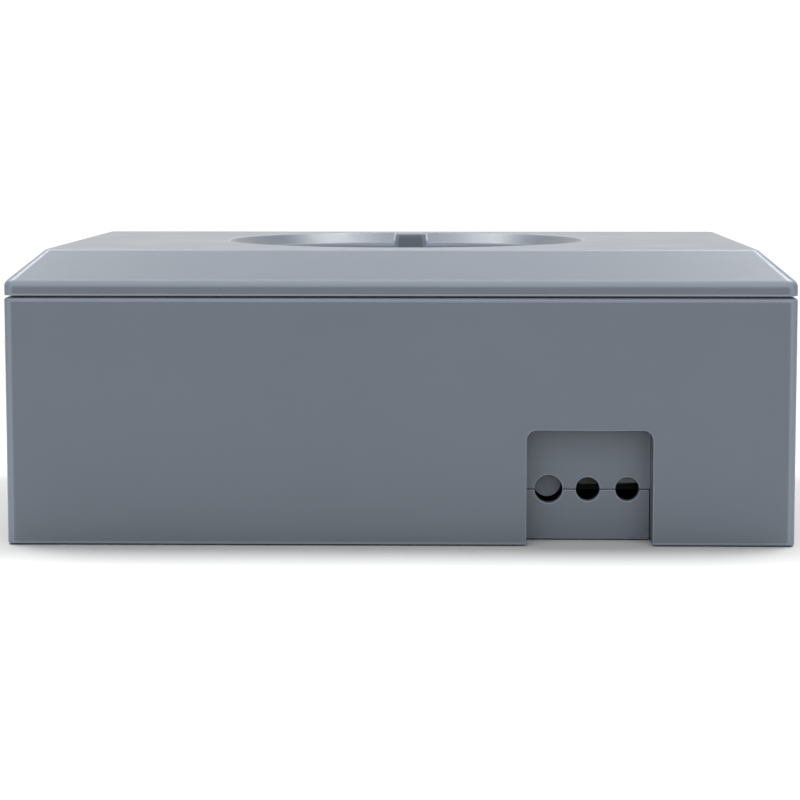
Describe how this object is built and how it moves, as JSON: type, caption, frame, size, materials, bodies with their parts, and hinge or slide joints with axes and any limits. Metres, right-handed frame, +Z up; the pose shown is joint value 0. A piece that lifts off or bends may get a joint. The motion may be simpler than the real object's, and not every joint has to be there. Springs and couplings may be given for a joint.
{
  "type": "security tag detacher",
  "caption": "Powered countertop detacher: a chamfered case with a round tag dish, a curved release probe driven by a geared motor, and a rear cable bay.",
  "frame": {"origin": "centre of the bounding box at the level of the feet", "axes": "+X to the right seen from the cable side, -Y towards the cable bay, +Y towards the user, +Z up"},
  "size_m": [0.24, 0.156, 0.09],
  "materials": {
    "shell": "satin, very fine texture, blue-grey",
    "nest": "satin dark grey",
    "sheet_steel": "zinc plated",
    "steel": "ground",
    "brass": "machined",
    "nylon": "natural",
    "black_plastic": "semi-gloss",
    "board": "solder resist",
    "relay_case": "moulded",
    "rubber": "matt black",
    "lens": "translucent pale green"
  },
  "bodies": {
    "case": {"lower_housing": "shell", "top_cover": "shell", "bottom_plate": "shell", "nest_insert": "nest", "mech_frame": "sheet_steel", "pivot_shaft": "steel", "idler_shaft": "steel", "pivot_clip": "steel", "drive_motor": "sheet_steel", "motor_screw_upper": "steel", "motor_screw_lower": "steel", "home_sensor": "black_plastic", "end_sensor": "black_plastic", "plunger_spring": "steel", "plunger_guide": "black_plastic", "tag_sensor": "black_plastic", "control_board": "board", "controller_chip": "black_plastic", "motor_relay": "relay_case", "capacitor": "black_plastic", "buzzer": "black_plastic", "cable_terminal": "nylon", "wire_connector": "nylon", "cable_clamp": "shell", "status_led": "lens", "status_lens": "lens", "foot_rear_left": "rubber", "foot_rear_right": "rubber", "foot_front_left": "rubber", "foot_front_right": "rubber", "cover_screw_rear_left": "steel", "cover_screw_rear_right": "steel", "cover_screw_front_left": "steel", "cover_screw_front_right": "steel", "base_screw_1": "steel", "base_screw_2": "steel", "base_screw_3": "steel", "base_screw_4": "steel", "nest_screw_1": "steel", "nest_screw_2": "steel", "nest_screw_3": "steel", "nest_screw_4": "steel", "frame_screw_1": "steel", "frame_screw_2": "steel", "frame_screw_3": "steel", "frame_screw_4": "steel", "board_screw_1": "steel", "board_screw_2": "steel", "board_screw_3": "steel", "board_screw_4": "steel", "clamp_screw_left": "steel", "clamp_screw_right": "steel"},
    "probe": {"probe_carrier": "sheet_steel", "release_probe": "steel"},
    "idler": {"idler_gear": "nylon"},
    "rotor": {"motor_shaft": "steel", "motor_pinion": "brass"},
    "plunger": {"tag_plunger": "nylon"}
  },
  "joints": [
    {"name": "probe_swing", "type": "hinge", "parent": "case", "child": "probe", "pos_m": [-0.02, 0.002, 0.066], "axis": [0, -1, 0], "range_deg": [0, 62]},
    {"name": "idler_spin", "type": "hinge", "parent": "case", "child": "idler", "pos_m": [-0.03726, 0.002, 0.04134], "axis": [0, -1, 0], "range_deg": [-250, 0]},
    {"name": "motor_spin", "type": "hinge", "parent": "case", "child": "rotor", "pos_m": [-0.05536, -0.008, 0.03089], "axis": [0, -1, 0], "range_deg": [0, 830]},
    {"name": "plunger_press", "type": "slide", "parent": "case", "child": "plunger", "axis": [0, 0, -1], "range_m": [0, 0.0024], "stiffness_N_per_m": 200, "springref_m": -0.002, "deforming": ["plunger_spring"]}
  ],
  "couplings": [
    {"joint": "idler_spin", "follows": "probe_swing", "ratio": -4},
    {"joint": "motor_spin", "follows": "probe_swing", "ratio": 13.333}
  ]
}
